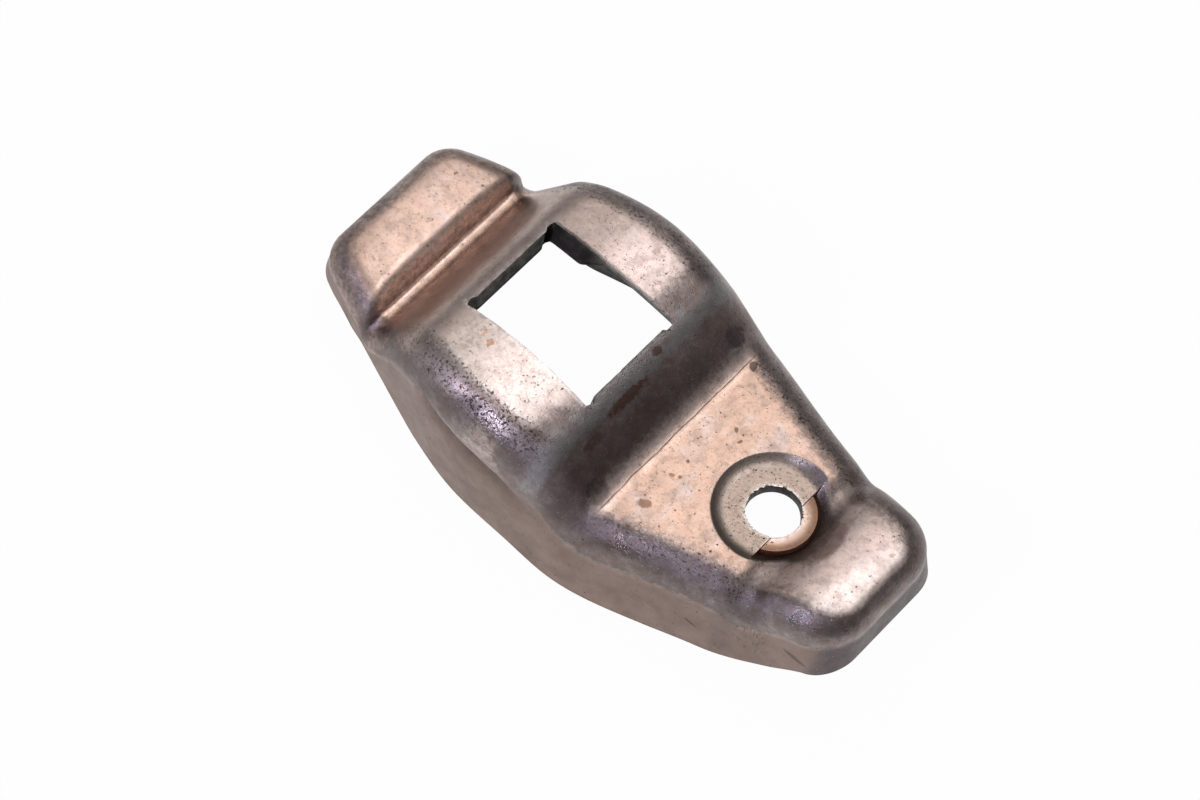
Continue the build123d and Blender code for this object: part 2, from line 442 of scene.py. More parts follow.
# Coined seat: a sunk floor with a coved wall up to the step, and beyond it a lip above the slope
plate_slope = (plate_end[1] - crease[1]) / (plate_end[0] - crease[0])
plate = crease[1] + plate_slope * (points[:, 0] - crease[0])
cove = np.clip(from_hole - seat_floor_radius, 0, None)
cove_run = seat_radius - seat_floor_radius
cove_radius = (cove_run**2 + seat_depth**2) / (2 * seat_depth)
cove_rise = cove_radius - np.sqrt(np.clip(cove_radius**2 - np.minimum(cove, cove_run) ** 2, 0, None))
coined = np.minimum(points[:, 2], plate - seat_depth + cove_rise)
sunk = np.where(from_hole < seat_radius, coined, points[:, 2])
hollow_slope = (hollow_rise + hollow_depth) / (hollow_radius - lip_radius)
hollow = np.minimum(points[:, 2], plate - hollow_depth + hollow_slope * (from_hole - lip_radius))
lip = np.where(from_hole < lip_radius + step_gap, plate - seat_depth - lip_drop, hollow)
beyond_step = smooth(step_x, step_gap, points[:, 0])
outside = points.copy()
near_hole = is_top & (from_hole < hollow_radius)
outside[near_hole, 2] = (sunk * (1 - beyond_step) + lip * beyond_step)[near_hole]

# Crowned pads
level = np.zeros(len(points))
for step, index in enumerate(loop_index[: shoulder_steps + 1]):
    level[index] = step / shoulder_steps
for way, middle, reach, drop in pads:
    along = way * (points[:, 0] - middle) / reach[0]
    from_middle = np.hypot(np.clip(along, 0, None), points[:, 1] / reach[1])
    on_pad = smooth(*pad_fade, along) * (1 - level)
    outside[:, 2] -= drop * np.clip(from_middle, 0, crown_limit) ** crown_power * on_pad

# Crease along each side, sharp above and soft below
fold_height = np.interp(points[:, 0], fold_x, fold_z)
below = fold_height - points[:, 2]
dent = np.where(below < 0, near(0, fold_reaches[0], below), near(0, fold_reaches[1], below))
dent *= within(*fold_span, points[:, 0]) * ~is_top * (np.abs(points[:, 1]) > fold_half)
outside -= normals * (fold_depth * dent + skin_clearance)[:, None]

# The cut edge at the hem is level across the sheet
hem_gap = points[loop_index[-1], 2] - inside[loop_index[-1], 2]
for step, index in enumerate(loop_index[shoulder_steps:]):
    inside[index, 2] += hem_gap * (step / wall_steps) ** 2

# Window: its side walls open downwards, where the punch broke out
opened = np.abs(inside[: grid.size, 1].reshape(grid.shape))
flat_reach = np.abs(far_edge[:, 1])[:, None]
side_reach = window_side[:, None]
spread = np.minimum(opened / side_reach, (flat_reach - opened) / (flat_reach - side_reach))
spread *= 1 - smooth(*breakout_fade, np.abs(top[..., 0]))
depth = (outside[: grid.size, 2] - inside[: grid.size, 2]).reshape(grid.shape)
torn = (top[..., 1] > 0) * (1 - smooth(*torn_end, top[..., 0]))
lean = np.where(top[..., 1] > 0, far_breakout, breakout) * (1 - torn) - torn_lean * torn
inside[: grid.size, 1] += (np.sign(top[..., 1]) * np.clip(spread, 0, 1) * lean * depth).ravel()

# Edges of the sheet round the window, the hole and the hem
window_loop = [grid[i, window_row_ends[0]] for i in range(*window_columns)]
window_loop += [grid[window_columns[1], j] for j in range(*window_row_ends)]
window_loop += [grid[i, window_row_ends[1]] for i in range(window_columns[1], window_columns[0], -1)]
window_loop += [grid[window_columns[0], j] for j in range(window_row_ends[1], window_row_ends[0], -1)]
openings = [np.array(window_loop), ring_index[-1][::-1], loop_index[-1]]

# The rims of the window and the hole are slightly ragged
random = np.random.default_rng(6)
for opening, raggedness in zip(openings, rim_raggedness):
    ragged = random.normal(size=len(opening))
    ragged = (ragged + np.roll(ragged, 1) * ragged_run) * raggedness
    away = outside[opening, :2] - outside[opening, :2].mean(0)
    away /= np.linalg.norm(away, axis=1)[:, None]
    outside[opening, :2] += away * np.clip(ragged, 0, 2 * raggedness)[:, None]

# Both sides of the sheet and its edges as one mesh
skin_count = len(points)
mesh_points = [outside, inside]
mesh_quads = [quads, quads[:, ::-1] + skin_count]
count = 2 * skin_count
for opening in openings:
    rows = [opening]
    for step in range(1, rim_steps):
        t = step / rim_steps
        mesh_points.append(outside[opening] * (1 - t) + inside[opening] * t)
        rows.append(count + np.arange(len(opening)))
        count += len(opening)
    rows.append(opening + skin_count)
    mesh_quads += [bridge(b, a) for a, b in zip(rows, rows[1:])]
mesh_points = np.concatenate(mesh_points)
mesh_quads = np.concatenate(mesh_quads)
used, mesh_quads = np.unique(mesh_quads, return_inverse=True)
mesh_quads = mesh_quads.reshape(-1, 4)
mesh = bpy.data.meshes.new("pressed_arm")
mesh.from_pydata(mesh_points[used], [], mesh_quads)
mesh.validate()
mesh.shade_smooth()
arm = bpy.data.objects.new("pressed_arm", mesh)
bpy.context.scene.collection.objects.link(arm)
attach(arm, "root")
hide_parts("rocker_arm")

rounding = arm.modifiers.new("edges", "BEVEL")
rounding.width = edge_rounding
rounding.segments = 2
rounding.limit_method = "ANGLE"
rounding.angle_limit = sharp_edge


def add_node(tree, kind, values=(), **settings):
    """New node with its settings, and with its inputs set or linked."""
    made = tree.nodes.new(kind)
    for name, value in settings.items():
        setattr(made, name, value)
    for socket, value in dict(values).items():
        if isinstance(value, bpy.types.NodeSocket):
            tree.links.new(value, made.inputs[socket])
        else:
            made.inputs[socket].default_value = value
    return made


def new_mask_group(name, inputs):
    """Shader node group with its named inputs, which puts out one mask."""
    group = bpy.data.node_groups.new(name, "ShaderNodeTree")
    for socket, value in inputs.items():
        kind = "NodeSocketVector" if value is None else "NodeSocketFloat"
        made = group.interface.new_socket(socket, in_out="INPUT", socket_type=kind)
        if value is not None:
            made.default_value = value
    group.interface.new_socket("Mask", in_out="OUTPUT", socket_type="NodeSocketFloat")
    return group, group.nodes.new("NodeGroupInput").outputs, group.nodes.new("NodeGroupOutput").inputs


# Patches: soft-edged cloudy areas that cover a share of the surface
patches, given, result = new_mask_group(
    "patches", {"Place": None, "Per Metre": 400.0, "Roughness": 0.6, "Cover": 0.5, "Softness": 0.1}
)
cloud = add_node(
    patches,
    "ShaderNodeTexNoise",
    {
        "Vector": given["Place"],
        "Scale": given["Per Metre"],
        "Detail": 6.0,
        "Roughness": given["Roughness"],
        "Distortion": 0.3,
    },
)
# The noise lies mostly between 0.3 and 0.7, so the cover is spread over that span
cloud_edge = add_node(
    patches, "ShaderNodeMapRange", {"Value": given["Cover"], "To Min": 0.72, "To Max": 0.28}
).outputs[0]
low = add_node(patches, "ShaderNodeMath", {0: cloud_edge, 1: given["Softness"]}, operation="SUBTRACT")
high = add_node(patches, "ShaderNodeMath", {0: cloud_edge, 1: given["Softness"]}, operation="ADD")
mask = add_node(
    patches,
    "ShaderNodeMapRange",
    {"Value": cloud.outputs["Fac"], "From Min": low.outputs[0], "From Max": high.outputs[0]},
    interpolation_type="SMOOTHSTEP",
)
patches.links.new(mask.outputs[0], result["Mask"])

# Pits: small sharp holes of uneven size
pits, given, result = new_mask_group(
    "pits", {"Place": None, "Per Metre": 1500.0, "Size": 0.2, "Cover": 0.5}
)
warp = add_node(
    pits,
    "ShaderNodeTexNoise",
    {"Vector": given["Place"], "Scale": 5200.0, "Detail": 2.0},
)
shift = add_node(
    pits, "ShaderNodeVectorMath", {0: warp.outputs["Color"], 1: (3e-4, 3e-4, 3e-4)}, operation="MULTIPLY"
)
bent = add_node(
    pits, "ShaderNodeVectorMath", {0: given["Place"], 1: shift.outputs[0]}, operation="ADD"
)
spots = add_node(
    pits,
    "ShaderNodeTexVoronoi",
    {"Vector": bent.outputs[0], "Scale": given["Per Metre"]},
)
own = add_node(pits, "ShaderNodeSeparateColor", {"Color": spots.outputs["Color"]})
kept = add_node(
    pits, "ShaderNodeMath", {0: own.outputs["Red"], 1: given["Cover"]}, operation="LESS_THAN"
)
reach = add_node(
    pits, "ShaderNodeMath", {0: own.outputs["Green"], 1: given["Size"]}, operation="MULTIPLY"
)
reach = add_node(pits, "ShaderNodeMath", {0: reach.outputs[0], 1: 0.05}, operation="ADD")
hole = add_node(
    pits,
    "ShaderNodeMapRange",
    {"Value": spots.outputs["Distance"], "From Max": reach.outputs[0], "To Min": 1.0, "To Max": 0.0},
    interpolation_type="SMOOTHSTEP",
)
dotted = add_node(
    pits, "ShaderNodeMath", {0: hole.outputs[0], 1: kept.outputs[0]}, operation="MULTIPLY"
)
pits.links.new(dotted.outputs[0], result["Mask"])

# Scratches: fine parallel lines, broken up along their length
scratches, given, result = new_mask_group("scratches", {"Place": None, "Cover": 0.1})
line = add_node(scratches, "ShaderNodeMapping", {"Vector": given["Place"], "Scale": (9000, 9000, 350)})
streak = add_node(
    scratches, "ShaderNodeTexNoise", {"Vector": line.outputs[0], "Scale": 1.0, "Detail": 3.0}
)
limit = add_node(
    scratches,
    "ShaderNodeMapRange",
    {"Value": given["Cover"], "To Min": 0.75, "To Max": 0.35},
)
above = add_node(scratches, "ShaderNodeMath", {0: limit.outputs[0], 1: 0.06}, operation="ADD")
cut = add_node(
    scratches,
    "ShaderNodeMapRange",
    {"Value": streak.outputs["Fac"], "From Min": limit.outputs[0], "From Max": above.outputs[0]},
)
scratches.links.new(cut.outputs[0], result["Mask"])

# Blots: one ragged spot at a given place
blot, given, result = new_mask_group("blot", {"Place": None, "Middle": None, "Reach": None, "Turn": None})
own = add_node(
    blot,
    "ShaderNodeMapping",
    {
        "Vector": given["Place"],
        "Location": given["Middle"],
        "Rotation": given["Turn"],
        "Scale": given["Reach"],
    },
    vector_type="TEXTURE",
)
far = add_node(blot, "ShaderNodeVectorMath", {0: own.outputs[0]}, operation="LENGTH")
fray = add_node(
    blot,
    "ShaderNodeTexNoise",
    {"Vector": given["Place"], "Scale": 1800.0, "Detail": 4.0, "Roughness": 0.65},
)
frayed = add_node(
    blot,
    "ShaderNodeMath",
    {0: fray.outputs["Fac"], 1: 1.3, 2: far.outputs["Value"]},
    operation="MULTIPLY_ADD",
)
mask = add_node(
    blot,
    "ShaderNodeMapRange",
    {"Value": frayed.outputs[0], "From Min": 1.35, "From Max": 1.75, "To Min": 1.0, "To Max": 0.0},
    interpolation_type="SMOOTHSTEP",
)
blot.links.new(mask.outputs[0], result["Mask"])


def set_field(name, values):
    """Stores one number for each point of the mesh, for the material to read."""
    field = mesh.attributes.new(name, "FLOAT", "POINT")
    field.data.foreach_set("value", np.asarray(values, np.float32))


def mix_field(name, limits, *parts):
    """Stores the sum of several masks, each with its share, kept within the limits."""
    set_field(name, np.clip(sum(share * mask for share, mask in parts), *limits))


# Zones of the finish, painted shade and painted highlights along the arm: where each starts and stops,
# with the widths over which it fades
arch_start = (-12e-3, 6e-3)
plate_start = (16e-3, 2e-3)
plate_stop = (34e-3, 4e-3)
end_start = (43.7e-3, 2.4e-3)
pad_side_stop = (-10e-3, 4e-3)
worn_zone = (-12e-3, 4e-3), (-1.5e-3, 5e-3)
flank_start, flank_fade, flank_stop = 7.8e-3, 3.0e-3, (14.9e-3, 2.2e-3)
flank_far, flank_near = (2.4e-3, 0, 6e-3), (1.5e-3, -8.5e-3, 3e-3)
deep_zone = (12.0e-3, 1.8e-3), (14.3e-3, 1.4e-3)
grey_zone = (8.4e-3, 1.4e-3), (10.7e-3, 0.7e-3)
plate_side_start, beside_edge = (17e-3, 2e-3), (-0.7e-3, 2.2e-3)
dip_zone, dip_skew, dip_skew_limit = ((32.4e-3, 1.6e-3), (34.7e-3, 1.8e-3)), 0.15, 6e-3
# Brown film with painted shade: the arch's left flank and left top, and the near band past its bright part
film_shade_start, film_shade_stop, film_shade_fade = (-13.5e-3, 3e-3), -3.4e-3, 4e-3
film_shade_shift, film_shade_far = 1.4e-3, 7e-3
near_film_shade_zone, near_film_shade_edge = ((4.2e-3, 2.5e-3), (8e-3, 2e-3)), -6.5e-3
pad_wall_zone = (-17.4e-3, 1.6e-3), (-16.35e-3, 0.3e-3)
speckled_zone, smoother_start = ((-13e-3, 4e-3), plate_stop), (9e-3, 6e-3)
break_zone = (-7e-3, 3e-3), (6e-3, 4e-3)
tip_line_start, tip_line_fade, tip_line_skew = 41e-3, 2.4e-3, 0.3
gloss_at, streak_at, valley_at = (3.2e-3, 2.6e-3), (20e-3, 4.2e-3), (-15.4e-3, 0.9e-3)
plate_gloss_at, tip_gloss_at = (20.5e-3, 3.6e-3), (40e-3, 2.6e-3)
tip_matt_stop = 42e-3

# Zones round the hole, from its middle outwards
seat_stop, cove_start = (6.8e-3, 0.5e-3), (5.3e-3, 0.9e-3)
far_cove_start = (28.5e-3, 4e-3)
hollow_zone = (4.7e-3, 0.3e-3), (6.8e-3, 1.6e-3)
lip_zone = (3.8e-3, 0.9e-3), (5.0e-3, 0.3e-3)
step_fade = 0.1e-3

# Zones round the shoulder: 0 on the flat top, 1 where the side begins and 2 at the hem
skirt_start = (1.12, 0.24)
shoulder_start, shoulder_fade, worn_shift = 0.26, 0.3, 0.3
shoulder_stop = (1.1, 0.3)
flat_stop = (0.1, 0.5)
speckled_span = (0.0, 0.2), (0.7, 0.5)
break_at, tip_line_at = (0.06, 0.08), (0.04, 0.07)
rubbed_reach = 0.4e-3

# Where the finish changes over the arm: bright where it is handled and rubbed, with painted highlights on
# edge breaks; soot and painted shade on the shoulders, flanks, hollows and end wall
place = mesh_points[used]
x, y = place.T[:2]
on_near, on_far = y < 0, y > 0
is_skin = used < skin_count
skin_point = used % skin_count
turned = np.zeros(len(mesh_points))
for step, index in enumerate(loop_index):
    turned[index] = min(step / shoulder_steps, 1) + max(step - shoulder_steps, 0) / wall_steps
turned = np.where(is_skin, turned[used], 0)
skirt = smooth(*skirt_start, turned)
above = 1 - skirt

worn_edge = within(*worn_zone, x) * on_near
shoulder = smooth(shoulder_start + worn_shift * worn_edge, shoulder_fade + worn_shift * worn_edge, turned)
shoulder *= (1 - smooth(*shoulder_stop, turned)) * (0.68 + 0.32 * smooth(*arch_start, x))
# Less painted shade where the near shoulder's highlight falls
shoulder *= 1 - 0.5 * near(*gloss_at, x) * on_near
flank_edge = flank_start - flank_far[0] * smooth(*flank_far[1:], y)
flank_edge -= flank_near[0] * (1 - smooth(*flank_near[1:], y))
flank = within((flank_edge, flank_fade), flank_stop, x) * above
deep_shade = within(*deep_zone, x) * above
flat_half = np.interp(x, far_edge[:, 0], far_edge[:, 1])
plate_side = smooth(*plate_side_start, x) * smooth(*beside_edge, np.abs(y) - flat_half) * above
plate_side *= np.where(on_far, 0.75, 0.4)
end_wall = smooth(*end_start, x) * skirt
near_shoulder = shoulder * on_near
# Painted shade beside the near shoulder's streak
near_streak_shade = near_shoulder * near(*streak_at, x)
valley = near(*valley_at, x) * above
pad_wall = within(*pad_wall_zone, x) * above
plate_top = within(plate_start, plate_stop, x) * (1 - smooth(*flat_stop, turned))
pad_side = (1 - smooth(*pad_side_stop, x)) * above
film_and_shade = within(film_shade_start, (film_shade_stop + film_shade_shift * (y > film_shade_far), film_shade_fade), x)
film_and_shade = (film_and_shade + 0.35 * within(*near_film_shade_zone, x) * (y < near_film_shade_edge)) * above

dip_edge = dip_zone[1][0] + dip_skew * np.clip(y, 0, dip_skew_limit)
dip = within(dip_zone[0], (dip_edge, dip_zone[1][1]), x) * (from_hole[skin_point] > hollow_zone[0][0])
hole_away = np.where(is_skin, from_hole[skin_point], 1)
past_step = smooth(step_x, step_fade, x)
seat = (1 - smooth(*seat_stop, hole_away)) * (1 - past_step)
cove_wall = seat * smooth(*cove_start, hole_away)
far_cove = cove_wall * smooth(*far_cove_start, x) * on_far
hollow_wall = within(*hollow_zone, hole_away) * past_step

speckled = within(*speckled_span, turned) * (1 - 0.4 * smooth(*smoother_start, x))
speckled *= 0.35 + 0.65 * within(*speckled_zone, x)
# Painted highlights: a bright line on the near band's edge break and along the rim of the tip's pad
break_line_highlight = near(*break_at, turned) * within(*break_zone, x) * on_near
tip_rim_highlight = near(*tip_line_at, turned) * smooth(tip_line_start + tip_line_skew * y, tip_line_fade, x)
edge_tree = kdtree.KDTree(sum(len(opening) for opening in openings[:2]))
for opening in openings[:2]:
    for k in opening:
        edge_tree.insert(outside[k], int(k))
edge_tree.balance()
rubbed = np.array([max(0, 1 - edge_tree.find(spot)[2] / rubbed_reach) for spot in place]) * is_skin
shines = near(*gloss_at, x) * on_near + near(*plate_gloss_at, x) + near(*tip_gloss_at, x)
matt = near_shoulder * np.clip(1.2 - shines, 0, 1) * (x < tip_matt_stop)
shiny = near_shoulder * np.clip(shines, 0, 1)

# Soot and painted shade on the shoulders, flank, plate's sides, end wall, far cove, dip, hollow and pad
# wall
soot_and_shade_parts = [(1, shoulder), (0.85, flank), (1, plate_side), (1, end_wall)]
soot_and_shade_parts += [(0.95, far_cove), (0.35, dip), (0.5, hollow_wall), (0.6, pad_wall)]
mix_field("soot_and_shade", (0, 1), *soot_and_shade_parts)
# Painted shade, near black, low on the right flank, on the end wall and beside the near shoulder's streak
mix_field("deep_shade", (0, 1.3), (0.85, deep_shade), (1.3, end_wall), (0.7, near_streak_shade))
# Brown film with painted shade on the arch's left flank, the pad's wall, the dip and the hollow round the
# lip
mix_field("film_and_shade", (0, 1), (0.8, film_and_shade), (0.4, pad_wall), (1, dip), (1, hollow_wall))
mix_field("seat", (0, 1), (0.8, seat), (0.2, cove_wall))
mix_field("speckled", (0, 1), (1, speckled), (0.15, dip), (0.5, plate_side), (0.4, seat))
mix_field("warmth", (0, 1), (1, plate_top), (0.6, pad_side))
# Rubbed rims, and painted highlights on the near band's edge break and the tip pad's rim
mix_field("rub_and_highlight", (0, 1), (1, rubbed), (0.8, break_line_highlight), (0.6, tip_rim_highlight))
mix_field("matt", (-0.5, 1), (1, matt), (1, far_cove), (-0.5, shiny), (-0.45, valley))
set_field("grey", within(*grey_zone, x) * above)
# Painted shade on the tip's end wall, given through its metallic
set_field("end_wall_shade", end_wall)
# Painted shade on the lip's outer edge
set_field("lip", within(*lip_zone, hole_away) * past_step)
# Painted shade in the die's crease along each side
set_field("fold_shade", np.where(is_skin, dent[skin_point], 0))
set_field("skirt", skirt)

steel = bpy.data.materials.new("tarnished_steel")
steel.use_nodes = True
tree = steel.node_tree
shader = tree.nodes["Principled BSDF"]
spot = add_node(tree, "ShaderNodeTexCoord").outputs["Object"]


def field(name):
    return add_node(tree, "ShaderNodeAttribute", attribute_name=name).outputs["Fac"]


def placed(group, values):
    """Mask that a group puts out at each place on the surface."""
    return add_node(tree, "ShaderNodeGroup", {"Place": spot, **values}, node_tree=group).outputs["Mask"]


def patch(per_metre, cover, softness, roughness=0.6):
    values = {"Per Metre": per_metre, "Cover": cover, "Softness": softness, "Roughness": roughness}
    return placed(patches, values)


def dots(per_metre, size, cover):
    return placed(pits, {"Per Metre": per_metre, "Size": size, "Cover": cover})


def spot_at(middle, reach, turn=(0, 0, 0)):
    """Ragged spot, with its place and its size along each axis in millimetres."""
    values = {"Middle": [v * 1e-3 for v in middle], "Reach": [v * 1e-3 for v in reach], "Turn": turn}
    return placed(blot, values)


def maths(operation, a, b, clamp=False):
    return add_node(tree, "ShaderNodeMath", {0: a, 1: b}, operation=operation, use_clamp=clamp).outputs[0]


def span(value, low, high):
    return add_node(tree, "ShaderNodeMapRange", {"Value": value, "To Min": low, "To Max": high}).outputs[0]


def layer(under, over, amount):
    made = add_node(tree, "ShaderNodeMix", data_type="RGBA")
    for socket, value in (("Factor_Float", amount), ("A_Color", under), ("B_Color", over)):
        target = next(s for s in made.inputs if s.identifier == socket)
        if isinstance(value, bpy.types.NodeSocket):
            tree.links.new(value, target)
        else:
            target.default_value = value
    return next(s for s in made.outputs if s.identifier == "Result_Color")


# Colours of the steel, of what lies on it, and of painted shade and highlights
pale = (0.665, 0.57, 0.555, 1)
tan = (0.66, 0.44, 0.335, 1)
brown = (0.33, 0.255, 0.225, 1)
film_and_shade_brown = (0.3, 0.252, 0.228, 1)
skirt_dark = (0.2, 0.138, 0.116, 1)
skirt_light = (0.29, 0.212, 0.18, 1)
seat_grey = (0.37, 0.308, 0.27, 1)
lip_shade_brown = (0.17, 0.09, 0.052, 1)
freckle_brown = (0.3, 0.215, 0.175, 1)
fold_shade_black = (0.12, 0.095, 0.085, 1)
sooty_shade = (0.17, 0.147, 0.144, 1)
shade_black_brown = (0.12, 0.09, 0.083, 1)
flank_strip_grey = (0.36, 0.347, 0.352, 1)
red_brown = (0.2, 0.125, 0.1, 1)
rust = (0.26, 0.12, 0.06, 1)
pit_black = (0.04, 0.033, 0.03, 1)
glint = (0.62, 0.57, 0.58, 1)
scratch_brown = (0.09, 0.065, 0.055, 1)
pressed_line_shade = (0.3, 0.2, 0.15, 1)
rub_and_highlight_pale = (0.86, 0.82, 0.8, 1)
soot_and_shade, warmth, skirt_field, speckled = field("soot_and_shade"), field("warmth"), field("skirt"), field("speckled")

# Bare steel under a thin brown film that also carries painted shade on the arch's left flank, the pad's
# wall, the dip and the hollow round the lip; darker down the sides and in the seat; painted shade on the
# lip's edge
tan_share = maths("MULTIPLY", patch(260, 0.78, 0.16), span(warmth, 0.2, 1.0))
colour = layer(pale, tan, tan_share)
brown_cover = span(skirt_field, 0.36, 0.8)
colour = layer(colour, brown, maths("MULTIPLY", patch(700, brown_cover, 0.12), 0.5))
film_and_shade_share = span(patch(380, 0.6, 0.25), 0.55, 0.9)
colour = layer(colour, film_and_shade_brown, maths("MULTIPLY", field("film_and_shade"), film_and_shade_share))
skirt_colour = layer(skirt_dark, skirt_light, patch(230, 0.45, 0.3))
colour = layer(colour, skirt_colour, maths("MULTIPLY", skirt_field, 0.9))
colour = layer(colour, seat_grey, field("seat"))
# Painted shade on the lip's outer edge
colour = layer(colour, lip_shade_brown, maths("MULTIPLY", field("lip"), 0.9))
freckle_share = span(patch(240, 0.5, 0.2), 0.2, 0.72)
colour = layer(colour, freckle_brown, maths("MULTIPLY", patch(2300, 0.33, 0.07, 0.75), freckle_share))
# Painted shade in the crease that the dies left along each side
fold_shade_share = span(patch(900, 0.6, 0.2), 0.4, 0.9)
colour = layer(colour, fold_shade_black, maths("MULTIPLY", field("fold_shade"), fold_shade_share))

# Soot and painted shade on the shoulders, the flanks, the plate's sides, the end wall and the hollows, with
# a frayed edge, and rust that shows through it
soot_and_shade_edge = maths("SUBTRACT", soot_and_shade, span(patch(1500, 0.5, 0.2, 0.75), 0.0, 0.45))
soot_and_shade_share = maths("MULTIPLY", soot_and_shade_edge, 1.75, clamp=True)
soot_and_shade_share = maths("MULTIPLY", soot_and_shade_share, span(patch(520, 0.62, 0.2, 0.7), 0.62, 0.95))
colour = layer(colour, sooty_shade, soot_and_shade_share)
# Painted shade, near black, low on the right flank by the crease, on the tip's end wall and beside the near
# streak
deep_shade_share = span(patch(420, 0.7, 0.15, 0.7), 0.25, 0.68)
colour = layer(colour, shade_black_brown, maths("MULTIPLY", field("deep_shade"), deep_shade_share))
# Grey strip along the right flank below the window
grey_share = span(patch(900, 0.6, 0.2), 0.5, 0.85)
colour = layer(colour, flank_strip_grey, maths("MULTIPLY", field("grey"), grey_share))
browned = maths("MULTIPLY", soot_and_shade_share, patch(650, 0.4, 0.12, 0.75))
colour = layer(colour, red_brown, maths("MULTIPLY", browned, 0.6))
colour = layer(colour, rust, maths("MULTIPLY", patch(900, 0.14, 0.04, 0.7), 0.4))

# Single marks: place, size along each axis and turn about the sheet's normal, with their colour and share
marks = [
    ((10.9, -2.6, 0.0), (0.55, 3.4, 0.9), 0.0, (0.13, 0.055, 0.04, 1), 0.75),
    ((9.7, 3.4, 0.8), (0.5, 0.75, 0.8), 0.0, (0.12, 0.05, 0.035, 1), 0.7),
    ((11.6, -8.6, -0.8), (0.5, 1.6, 0.9), 0.0, (0.12, 0.06, 0.045, 1), 0.5),
    ((15.0, -11.4, -3.9), (1.7, 1.5, 1.6), 0.0, (0.045, 0.042, 0.045, 1), 0.5),
    ((13.7, 12.2, -2.6), (1.5, 1.3, 1.6), 0.0, (0.04, 0.035, 0.035, 1), 0.55),
    ((-4.4, -8.4, 2.0), (0.28, 0.55, 0.6), 0.3, (0.42, 0.2, 0.1, 1), 0.8),
    ((-3.2, -8.8, 2.1), (0.42, 0.42, 0.6), 0.0, (0.42, 0.2, 0.1, 1), 0.8),
    ((19.3, -8.8, -4.1), (0.9, 0.6, 0.6), 0.5, (0.2, 0.1, 0.055, 1), 0.75),
    ((19.2, -4.3, -4.1), (0.38, 0.25, 0.5), 0.4, (0.25, 0.12, 0.06, 1), 0.8),
    ((20.0, -3.9, -4.0), (0.22, 0.22, 0.5), 0.0, (0.2, 0.1, 0.05, 1), 0.8),
    ((19.4, -1.9, -4.0), (0.2, 0.2, 0.5), 0.0, (0.12, 0.07, 0.05, 1), 0.8),
    ((20.7, 4.4, -3.9), (0.25, 0.4, 0.5), 0.6, (0.14, 0.08, 0.05, 1), 0.8),
    ((21.9, 3.6, -3.8), (0.2, 0.35, 0.5), -0.4, (0.14, 0.08, 0.05, 1), 0.8),
    ((17.0, 11.6, -4.3), (0.5, 0.7, 0.8), 0.4, (0.06, 0.04, 0.035, 1), 0.85),
    ((-18.5, 7.6, -5.4), (0.24, 0.24, 0.6), 0.0, (0.12, 0.07, 0.06, 1), 0.85),
    ((-21.6, 6.7, -4.6), (0.2, 0.3, 0.6), 0.0, (0.25, 0.14, 0.1, 1), 0.8),
    ((42.6, 3.2, -0.1), (0.3, 0.3, 0.6), 0.0, (0.33, 0.2, 0.1, 1), 0.7),
]
for middle, reach, angle, tint, share in marks:
    colour = layer(colour, tint, maths("MULTIPLY", spot_at(middle, reach, (0, 0, angle)), share))

# Pits, thicker on the shoulders and on the near part of the arch, and scratches low on the tip's side
fine_pits = dots(3400, 0.36, span(maths("ADD", patch(300, 0.5, 0.2), speckled), 0.06, 0.36))
coarse_pits = dots(1700, 0.3, span(patch(200, 0.45, 0.2), 0.0, 0.16))
ragged_pits = patch(2900, span(speckled, -0.1, 0.36), 0.03, 0.8)
pitting = maths("MAXIMUM", maths("MAXIMUM", fine_pits, coarse_pits), ragged_pits)
colour = layer(colour, pit_black, maths("MULTIPLY", pitting, 0.85))
# Painted glints: light specks in the soot and shade of the shoulders
glint_share = maths("MULTIPLY", dots(3100, 0.34, 0.3), maths("MULTIPLY", soot_and_shade, 0.6))
colour = layer(colour, glint, glint_share)
scuff = spot_at((36.8, -10.8, -8.6), (2.3, 1.5, 2.6))
gouge = spot_at((41.7, -9.8, -7.4), (1.6, 1.2, 0.32), (0, 0.3, 0))
nick = spot_at((30.3, -12.7, -11.5), (0.9, 1.0, 0.14), (0, 0.45, 0))
scored = maths("MULTIPLY", placed(scratches, {"Cover": 0.42}), scuff)
scored = maths("MAXIMUM", scored, maths("MULTIPLY", gouge, 0.9))
scored = maths("MAXIMUM", scored, nick)
colour = layer(colour, scratch_brown, maths("MULTIPLY", scored, 0.7))

# Line that the die's edge pressed across the plate beside the crease, darkened as painted shade along its
# groove
pressed_x, pressed_half, line_waver = 16.4e-3, 0.13e-3, 0.25e-3
across = add_node(tree, "ShaderNodeSeparateXYZ", {0: spot})
waver = add_node(tree, "ShaderNodeTexNoise", {"Vector": spot, "Scale": 260.0, "Detail": 2.0})
line_x = maths("ADD", across.outputs["X"], span(waver.outputs["Fac"], -line_waver, line_waver))
off_line = maths("ABSOLUTE", maths("SUBTRACT", line_x, pressed_x), 0.0)
pressed = add_node(
    tree,
    "ShaderNodeMapRange",
    {"Value": off_line, "From Max": pressed_half, "To Min": 1.0, "To Max": 0.0},
    interpolation_type="SMOOTHSTEP",
).outputs[0]
pressed = maths("MULTIPLY", pressed, maths("SUBTRACT", 1.0, maths("MAXIMUM", soot_and_shade, skirt_field)))
pressed = maths("MULTIPLY", pressed, span(patch(500, 0.75, 0.1), 0.2, 1.0))
colour = layer(colour, pressed_line_shade, maths("MULTIPLY", pressed, 0.55))
# Rubbed rims of the window and the hole, and painted highlights along the near band's edge and the tip
# pad's rim
rub_and_highlight_share = span(patch(1800, 0.55, 0.1), 0.1, 0.75)
colour = layer(colour, rub_and_highlight_pale, maths("MULTIPLY", field("rub_and_highlight"), rub_and_highlight_share))
tree.links.new(colour, shader.inputs["Base Color"])

